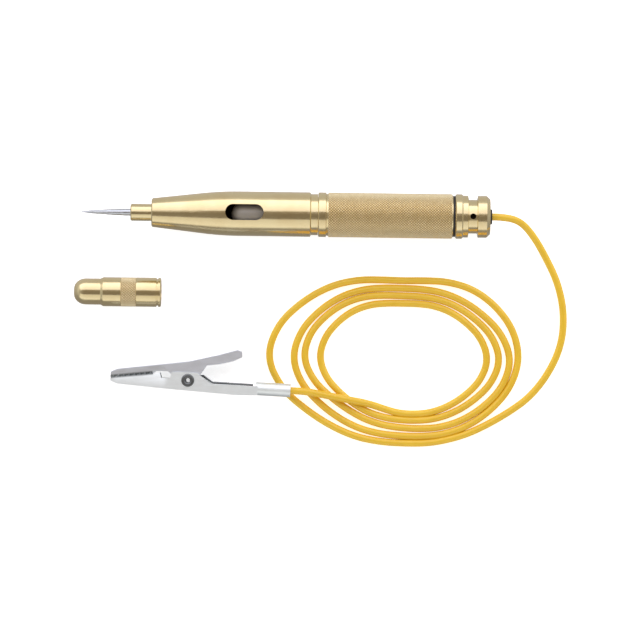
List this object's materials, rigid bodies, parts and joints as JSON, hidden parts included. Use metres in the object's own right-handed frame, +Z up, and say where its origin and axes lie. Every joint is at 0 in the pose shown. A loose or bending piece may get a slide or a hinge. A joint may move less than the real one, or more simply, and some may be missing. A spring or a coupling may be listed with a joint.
{
  "type": "circuit test light",
  "caption": "Pocket circuit tester: a turned brass probe with a needle, a windowed bulb holder and a knurled grip, trailing a yellow lead with a spring clip, plus a loose needle cap.",
  "frame": {"origin": "centre of the nose shoulder that the needle's collar stands on, on the tester's axis", "axes": "+X along the tester's axis towards the lead, -X along the needle; +Z up from the table that the tester, cap, clip and lead lie on; +Y away from the cap"},
  "size_m": [0.1452, 0.0762, 0.0132],
  "materials": {
    "polished_brass": "turned and lacquered brass, bright, with fine turning lines",
    "knurled_brass": "diamond-knurled brass, satin, darker in the grooves",
    "needle_steel": "hardened steel, ground to a point",
    "spring_steel": "bright spring wire",
    "nickel_plate": "pressed sheet steel with a dull nickel plating",
    "bulb_glass": "thin clear blown glass",
    "bulb_base": "thin drawn brass, slightly dull",
    "glass_insulator": "black vitrite insulator",
    "filament_wire": "drawn tungsten wire, dark",
    "insulator": "dark moulded insulating plastic",
    "seal_rubber": "black rubber, matt",
    "lead_pvc": "golden yellow soft PVC insulation, semi-gloss",
    "copper": "stranded bare copper",
    "solder": "soft solder, dull grey"
  },
  "bodies": {
    "handle": {"rear_barrel": "knurled_brass", "insulating_sleeve": "insulator", "lead_terminal": "polished_brass", "insulating_washer": "insulator", "contact_spring": "spring_steel", "seal_washer": "seal_rubber", "lock_ring": "polished_brass", "end_cap": "polished_brass", "cable_grommet": "seal_rubber", "lead_ferrule": "nickel_plate", "lead_core": "copper", "lead_inner": "lead_pvc", "lead_run": "lead_pvc", "lead_coil": "lead_pvc", "lead_tail": "lead_pvc", "clip_core": "copper", "clip_lower_jaw": "nickel_plate", "clip_pivot_pin": "nickel_plate", "clip_spring": "spring_steel"},
    "bulb": {"bulb_glass": "bulb_glass", "bulb_stem": "bulb_glass", "bulb_filament": "filament_wire", "bulb_base": "bulb_base", "bulb_insulator": "glass_insulator", "bulb_contact": "solder", "contact_plunger": "polished_brass"},
    "nose": {"nose_barrel": "polished_brass", "probe_spigot": "polished_brass", "probe_needle": "needle_steel", "lamp_seat": "polished_brass"},
    "clip_jaw": {"clip_upper_jaw": "nickel_plate"},
    "cap": {"cap_shell": "polished_brass"}
  },
  "joints": [
    {"name": "bulb_travel", "type": "slide", "parent": "handle", "child": "bulb", "axis": [-1, 0, 0], "range_m": [0, 0.005], "deforming": ["contact_spring"]},
    {"name": "nose_turn", "type": "hinge", "parent": "bulb", "child": "nose", "pos_m": [0, 0, 0], "axis": [-1, 0, 0], "range_deg": [0, 1800]},
    {"name": "clip_opening", "type": "hinge", "parent": "handle", "child": "clip_jaw", "pos_m": [0.01126, -0.04909, -0.00225], "axis": [0, 0, -1], "range_deg": [0, 20], "stiffness_Nm_per_rad": 0.05, "springref_deg": -20.05, "deforming": ["clip_spring"]},
    {"name": "cap_slide", "type": "slide", "parent": "handle", "child": "cap", "axis": [-0.8059, 0.5893, 0.0567], "range_m": [0, 0.0397]}
  ],
  "couplings": [
    {"joint": "nose_turn", "follows": "bulb_travel", "rad_per_m": 6283.2}
  ]
}
